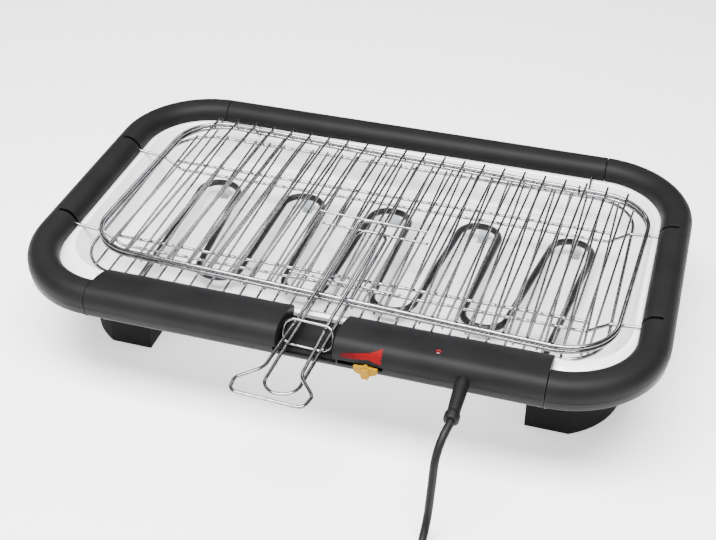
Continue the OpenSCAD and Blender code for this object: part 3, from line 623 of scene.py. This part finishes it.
# ---- Heating element: one bent steel tube with five loops, its ends held in ceramic bushes and its
# back bends in sheet-steel clips. Heat has turned it nearly black.
element_metal, tree, shader, place = new_material("oxidised_steel_tube", Metallic=0.85, Roughness=0.42)
scale = noise(tree, place, 160, 5, roughness=0.65)
tint(tree, shader, scale, "1c1c1d", "3c3c3d", 0.3, 0.75)
vary_gloss(tree, shader, scale, 0.32, 0.6)
element_corners = []
for n in range(-2, 3):
    front_x, back_x = 1 + 83 * n, 7.5 + 90 * n
    element_corners += [(front_x - 22.4, -77, element_z), (back_x - 19.3, 74, element_z),
                        (back_x + 19.3, 74, element_z), (front_x + 22.4, -77, element_z)]
element_line = [(-terminal_x, -146, element_z), (-terminal_x, -108, element_z)] + element_corners[1:-1]
element_line += [(terminal_x, -108, element_z), (terminal_x, -146, element_z)]
element_route = round_route(element_line, [30] + [18.4] * 18 + [30], 10)
element = wire_piece("heating_element_tube", [element_route], 6.4, sides=5)
fasten(element, element_metal, "grill", "element_steel", "heating_element")

ceramic, tree, shader, place = new_material("steatite_ceramic", IOR=1.6, Roughness=0.35)
speck = noise(tree, place, 700, 3)
tint(tree, shader, speck, "e2dccb", "efe9da")
bushes_bm = bmesh.new()
for side in (-1, 1):
    made = lathe(bushes_bm, [(3.3, 0), (5.4, 0), (6, 0.6), (6, 20.4), (8, 20.4), (8, 23.4), (6, 23.4),
                             (6, 24), (3.3, 24)])
    bmesh.ops.rotate(bushes_bm, cent=(0, 0, 0), matrix=Matrix.Rotation(pi / 2, 3, "X"), verts=made)
    bmesh.ops.translate(bushes_bm, vec=(side * terminal_x, -113, element_z), verts=made)
bushes = mesh_piece("element_bushes_ceramic", bushes_bm)
fasten(bushes, ceramic, "grill", "ceramic", "element_bushes")

# ---- Heat knob: a bright yellow moulded slider with a pointer on top and a tapered grip below.
# Its stem passes through a slot in the housing to the regulator.
yellow_plastic, tree, shader, place = new_material("yellow_abs", IOR=1.54, Roughness=0.5,
                                                   Specular_IOR_Level=0.15)
wash = noise(tree, place, 120)
tint(tree, shader, wash, "8a6400", "946c00")
knob_line = [(-10.2, -4.2), (-3, -4.2), (0, -1.8), (3, -4.2), (10.2, -4.2), (10.2, -9), (7, -11.6),
             (4, -12), (2.6, -15.6), (-2.6, -15.6), (-4, -12), (-7, -11.6), (-10.2, -9)]
grip_line = [(-3, -5.2), (3, -5.2), (4, -12), (2.6, -15.6), (-2.6, -15.6), (-4, -12)]
knob_bm = bmesh.new()
for line, low_y, high_y in ((knob_line, -180.5, -183), (grip_line, -182.5, -184.4)):
    face = knob_bm.faces.new([knob_bm.verts.new((53.8 + x, low_y, z)) for x, z in line])
    pull(knob_bm, face, (0, high_y - low_y, 0))
box(knob_bm, (48.8, -181, -7.5), (58.8, -164, -4.9))
box(knob_bm, (45.8, -168, -7.5), (61.8, -162, -4.9))
knob = mesh_piece("thermostat_slider_knob", knob_bm)
soften(knob, 0.4)
fasten(knob, yellow_plastic, "heat_slider", "yellow_plastic", "thermostat_slider")

# ---- Pilot lamp: a small red lens with a domed top, pushed up through the cover over a neon bulb.
red_lens, tree, shader, place = new_material("red_polycarbonate", IOR=1.58, Roughness=0.12)
depth = noise(tree, place, 500)
tint(tree, shader, depth, "50040a", "6c0810")
shader.inputs["Transmission Weight"].default_value = 0.3
lens_bm = bmesh.new()
lathe(lens_bm, [(0, 7), (4.2, 7), (4.2, 8.4), (3, 8.4), (3, 11.6), (2.6, 12.5), (1.6, 13), (0, 13.2)], 32,
      closed=False)
bmesh.ops.translate(lens_bm, vec=(lamp_x, lamp_y, 0), verts=lens_bm.verts)
lens = mesh_piece("pilot_lamp_lens_dome", lens_bm)
fasten(lens, red_lens, "grill", "red_lens", "pilot_lamp_lens")

# ---- Heat mark: a wedge that widens towards the hot end, printed in red on the cover's nose above
# the slider. It is a film of ink 0.05 mm thick, darker at its narrow end.
mark_ink, tree, shader, place = new_material("red_pad_print", IOR=1.5, Roughness=0.6,
                                             Specular_IOR_Level=0.1)
streak = noise(tree, place, 300)
across = add_node(tree, "ShaderNodeSeparateXYZ", links={"Vector": place})
fade = add_node(tree, "ShaderNodeMapRange", {"From Min": 0.03, "From Max": 0.055},
                {"Value": across.outputs["X"], "To Max": streak})
tint(tree, shader, fade.outputs["Result"], "3c0005", "6c0003", 0.05, 0.5)
mark_bm = bmesh.new()
# Points are (x, degrees forward from the top of the nose); they are wrapped round it afterwards.
ink_r = dome_h + 0.05
upper = [(31, 80), (33, 72), (44, 63), (55.5, 53), (60.5, 42), (66.3, 27)]
lower = [(31, 86), (33, 92), (44, 88), (55.5, 79), (61.5, 88), (66.5, 93)]
chains = []
for line in (upper, lower):
    chain = [mark_bm.verts.new((x, a, 0)) for x, a in line]
    chains += [mark_bm.edges.new(pair) for pair in zip(chain, chain[1:])]
bmesh.ops.bridge_loops(mark_bm, edges=chains)
bmesh.ops.subdivide_edges(mark_bm, edges=mark_bm.edges, cuts=4, use_grid_fill=True)
for v in mark_bm.verts:
    angle = radians(min(v.co.y, 90))
    past_nose = max(0, v.co.y - 90) * 0.2
    v.co = (v.co.x, front_y + dome_h - ink_r * sin(angle), ink_r * cos(angle) - past_nose)
heat_mark = mesh_piece("heat_mark_print", mark_bm)
fasten(heat_mark, mark_ink, "grill", "red_lens")

# ---- Wire grate: a rounded rim, 29 rods and two cross wires, spot-welded from chromed steel wire.
# Two carrier wires below climb over the rim and rest in the frame's slots.
chrome, tree, shader, place = new_material("chromed_steel_wire", Metallic=1.0, Roughness=0.2)
film = noise(tree, place, 220, 3)
tint(tree, shader, film, "7c7c7e", "a0a0a2")
vary_gloss(tree, shader, film, 0.1, 0.2)


def rim_route(half_x, half_y, r, z):
    """A rounded rectangle of wire."""
    corners = [(half_x, half_y, z), (-half_x, half_y, z), (-half_x, -half_y, z), (half_x, -half_y, z)]
    return round_route(corners, [r] * 4, 14, closed=True)


def rod_reach(x, half_x, half_y, r):
    """How far a rod at x runs before it meets the rim."""
    over = abs(x) - half_x + r
    return half_y if over <= 0 else half_y - r + sqrt(r * r - over * over)


def rod_routes(count, pitch, half_x, half_y, r, z, past_back, skip=()):
    """Rods side by side, each from the front rim to the back rim."""
    routes = []
    for i in range(count):
        x = (i - (count - 1) / 2) * pitch
        reach = rod_reach(x, half_x, half_y, r)
        if i not in skip:
            routes.append([(x, -reach - 1, z), (x, reach + past_back, z)])
    return routes


# Half width, half depth and corner radius of the rim, then heights and the rods' pitch.
grate = (237, 124, 42)
rim_z, rod_z, rod_pitch, rod_d = -6.5, -4.1, 15.64, 2.2
grate_rim = wire_piece("grate_rim_wire", [rim_route(*grate, rim_z)], 3.2, closed=True)
fasten(grate_rim, chrome, "wire_grate", "chrome_wire", "grate_rim")
rods = rod_routes(29, rod_pitch, *grate, rod_z, 1, skip=(1, 26))
for i in (1, 26):
    x = (i - 14) * rod_pitch
    line = [(x, -rod_reach(x, *grate) - 1, rod_z), (x, 141.5, rod_z), (x, 150, 0.6)]
    rods.append(round_route(line, [6], 6))
grate_rods = wire_piece("grate_rods_wire", rods, rod_d)
fasten(grate_rods, chrome, "wire_grate", "chrome_wire", "grate_rods")
cross_lines = [[(-219, y, rim_z), (219, y, rim_z)] for y in (-68.6, 68.6)]
cross = wire_piece("grate_cross_wires_wire", cross_lines, 3)
fasten(cross, chrome, "wire_grate", "chrome_wire", "grate_cross_wires")
carriers = []
for y in (-slot_y, slot_y):
    half = [(266, y, -0.9), (241, y, -3.5), (236.5, y, -3.5), (217, y, -16.5)]
    line = [(-x, y, z) for x, y, z in half] + half[::-1]
    carriers.append(round_route(line, [12, 4, 6, 6, 4, 12], 6))
carrier_wires = wire_piece("grate_support_wires_wire", carriers, 3)
fasten(carrier_wires, chrome, "wire_grate", "chrome_wire", "grate_support_wires")

# ---- Double basket: two chromed wire halves hinged at the back by rings, lying loose and a little
# turned on the grate. Each half has a rim, rods, a handle loop and short bars across the handle.
IN_BASKET = IN_FRAME @ Matrix.Translation((7, 6, 0)) @ Matrix.Rotation(radians(-2.7), 4, "Z")
basket = (241, 119, 47)
lower_rim = wire_piece("lower_rim_wire", [rim_route(*basket, 1.2)], 4, closed=True, place=IN_BASKET)
fasten(lower_rim, chrome, "basket_lower", "chrome_wire", "lower_rim")
lower_lines = rod_routes(23, 20.2, *basket, -1.6, 1)
lower_rods = wire_piece("lower_rods_wire", lower_lines, rod_d, place=IN_BASKET)
fasten(lower_rods, chrome, "basket_lower", "chrome_wire", "lower_rods")
loop = [(-13.8, -8, -1.1), (-13.8, -242, -1.1), (15.8, -242, -1.1), (15.8, -8, -1.1)]
handle_d = 3.2
lower_loop = round_route(loop, [10, 14.5, 14.5, 10], 10, closed=True)
lower_handle = wire_piece("lower_handle_wire", [lower_loop], handle_d, closed=True, sides=4, place=IN_BASKET)
fasten(lower_handle, chrome, "basket_lower", "chrome_wire", "lower_handle")
bar_d = 2.4
bar_lines = [[(-50, y, -1.5), (54, y, -1.5)] for y in (-8, -89)]
bars = wire_piece("lower_handle_bars_wire", bar_lines, bar_d, place=IN_BASKET)
fasten(bars, chrome, "basket_lower", "chrome_wire", "lower_handle_bars")
rings_bm = bmesh.new()
for x in (-167.5, 167.5):
    tube = [(5.15 + 0.75 * cos(radians(a)), 0.75 * sin(radians(a))) for a in range(0, 360, 36)]
    made = lathe(rings_bm, tube, 28)
    bmesh.ops.rotate(rings_bm, cent=(0, 0, 0), matrix=Matrix.Rotation(pi / 2, 3, "Y"), verts=made)
    bmesh.ops.translate(rings_bm, vec=(x, basket[1], 3.35), verts=made)
rings = mesh_piece("hinge_rings_wire", rings_bm, IN_BASKET)
fasten(rings, chrome, "basket_lower", "chrome_wire", "hinge_rings")

upper_rim = wire_piece("upper_rim_wire", [rim_route(*basket, 5.5)], 4, closed=True, place=IN_BASKET)
fasten(upper_rim, chrome, "basket_upper", "chrome_wire", "upper_rim")
upper_lines = rod_routes(22, 20.4, *basket, 8.5, 7)
upper_rods = wire_piece("upper_rods_wire", upper_lines, rod_d, place=IN_BASKET)
fasten(upper_rods, chrome, "basket_upper", "chrome_wire", "upper_rods")
half = [(13, -5, 8.8), (13, -112, 8.8), (13, -150, 10.4), (15.8, -228, 10.4), (33, -247, 10.4),
        (31, -262, 10.4)]
loop = [(1 + x, y, z) for x, y, z in half] + [(1 - x, y, z) for x, y, z in half[::-1]]
bends = [9.5, 60, 60, 16, 7, 7]
upper_loop = round_route(loop, bends + bends[::-1], 8, closed=True)
upper_handle = wire_piece("upper_handle_wire", [upper_loop], handle_d, closed=True, sides=4, place=IN_BASKET)
fasten(upper_handle, chrome, "basket_upper", "chrome_wire", "upper_handle")
bar = wire_piece("upper_handle_bar_wire", [[(-52, -5, 9.5), (52, -5, 9.5)]], bar_d, place=IN_BASKET)
fasten(bar, chrome, "basket_upper", "chrome_wire", "upper_handle_bar")

# ---- Locking ring: a loose flat loop of chromed wire that slides along both handles and holds the
# basket shut. It leans forward on them.
ring_place = IN_BASKET @ Matrix.Translation((1, -173, 4.8)) @ Matrix.Rotation(radians(-29), 4, "X")
loop = [(-22.1, 0, -10.8), (22.1, 0, -10.8), (22.1, 0, 10.8), (-22.1, 0, 10.8)]
ring_loop = round_route(loop, [9.2] * 4, 10, closed=True)
lock_ring = wire_piece("lock_ring_wire", [ring_loop], 2.5, closed=True, sides=4, place=ring_place)
fasten(lock_ring, chrome, "lock_ring", "chrome_wire", "lock_ring")

# ---- Inner parts and fasteners, which keep their CAD solids: the regulator, bulb, cut-out, terminal
# block, leads, clamp, clips and screws.
# Node, material, dark and light tone, metallic and roughness.
inner_parts = [
    ("thermostat_body", "brown_phenolic_moulding", "6b4a32", "7d5940", 0.0, 0.5),
    ("pilot_lamp_bulb", "neon_lamp_glass", "e8b8a8", "f4cabb", 0.0, 0.1),
    ("thermal_cutout", "phosphated_cutout_case", "3a3a3c", "505052", 0.7, 0.45),
    ("terminal_block", "white_polyamide_block", "e4e2da", "efede6", 0.0, 0.5),
    ("wiring", "glass_braid_leads", "9a3f26", "b0502f", 0.0, 0.8),
    ("cord_clamp", "grey_polyamide_clamp", "353537", "424245", 0.0, 0.55),
    ("element_clips", "galvanised_steel_clip", "a9abad", "c6c8ca", 1.0, 0.4),
    ("foot_screws", "zinc_plated_screws", "9fa2a6", "bcbfc2", 1.0, 0.35),
    ("case_screws", "zinc_plated_case_screws", "9fa2a6", "bcbfc2", 1.0, 0.35),
]
for node, name, dark, light, metal, rough in inner_parts:
    material, tree, shader, place = new_material(name, Metallic=metal, Roughness=rough)
    speck = noise(tree, place, 600, 3)
    tint(tree, shader, speck, dark, light)
    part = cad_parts[node]
    part.data.materials.clear()
    part.data.materials.append(material)

# ---- Table and light: a pale matt table in a grey room that is darkest at the horizon, with soft
# boxes above and in front. A narrow strip behind puts bright lines on the wires.
floor_bm = bmesh.new()
bmesh.ops.create_grid(floor_bm, x_segments=1, y_segments=1, size=6000)
bmesh.ops.translate(floor_bm, vec=(0, 0, -edge_z), verts=floor_bm.verts)
floor = mesh_piece("floor", floor_bm)
table_paint, tree, shader, place = new_material("matt_white_table", Roughness=0.9, Emission_Strength=0.8)
shader.inputs["Base Color"].default_value = hex_rgb("f6f6f6")
shader.inputs["Emission Color"].default_value = hex_rgb("ffffff")
floor.data.materials.append(table_paint)
floor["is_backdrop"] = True

room = bpy.data.worlds.new("room")
room.use_nodes = True
tree = room.node_tree
around = tree.nodes.new("ShaderNodeTexCoord").outputs["Generated"]
direction = add_node(tree, "ShaderNodeSeparateXYZ", links={"Vector": around})
greys = [(0.0, "909090"), (0.5, "686868"), (0.8, "909090"), (1.0, "c0c0c0")]
height = add_node(tree, "ShaderNodeValToRGB", {"ramp": greys}, {"Fac": direction.outputs["Z"]})
tree.links.new(height.outputs["Color"], tree.nodes["Background"].inputs["Color"])
tree.nodes["Background"].inputs["Strength"].default_value = 1.0
bpy.context.scene.world = room


def softbox(name, place, turn, size, power):
    """A rectangular area light."""
    light = bpy.data.lights.new(name, "AREA")
    light.shape = "RECTANGLE"
    light.size, light.size_y = size
    light.energy = power
    lamp = bpy.data.objects.new(name, light)
    lamp.location = place
    lamp.rotation_euler = [radians(a) for a in turn]
    bpy.context.collection.objects.link(lamp)


softbox("overhead", (0, -0.45, 1.7), (0, 0, 0), (1.8, 0.8), 150)
softbox("front", (-0.5, -1.7, 1.2), (57, 0, -16), (1.2, 0.9), 20)
softbox("back_strip", (-0.36, 1.31, 1.27), (-48, 0, 0), (2.6, 0.15), 7)

low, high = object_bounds()
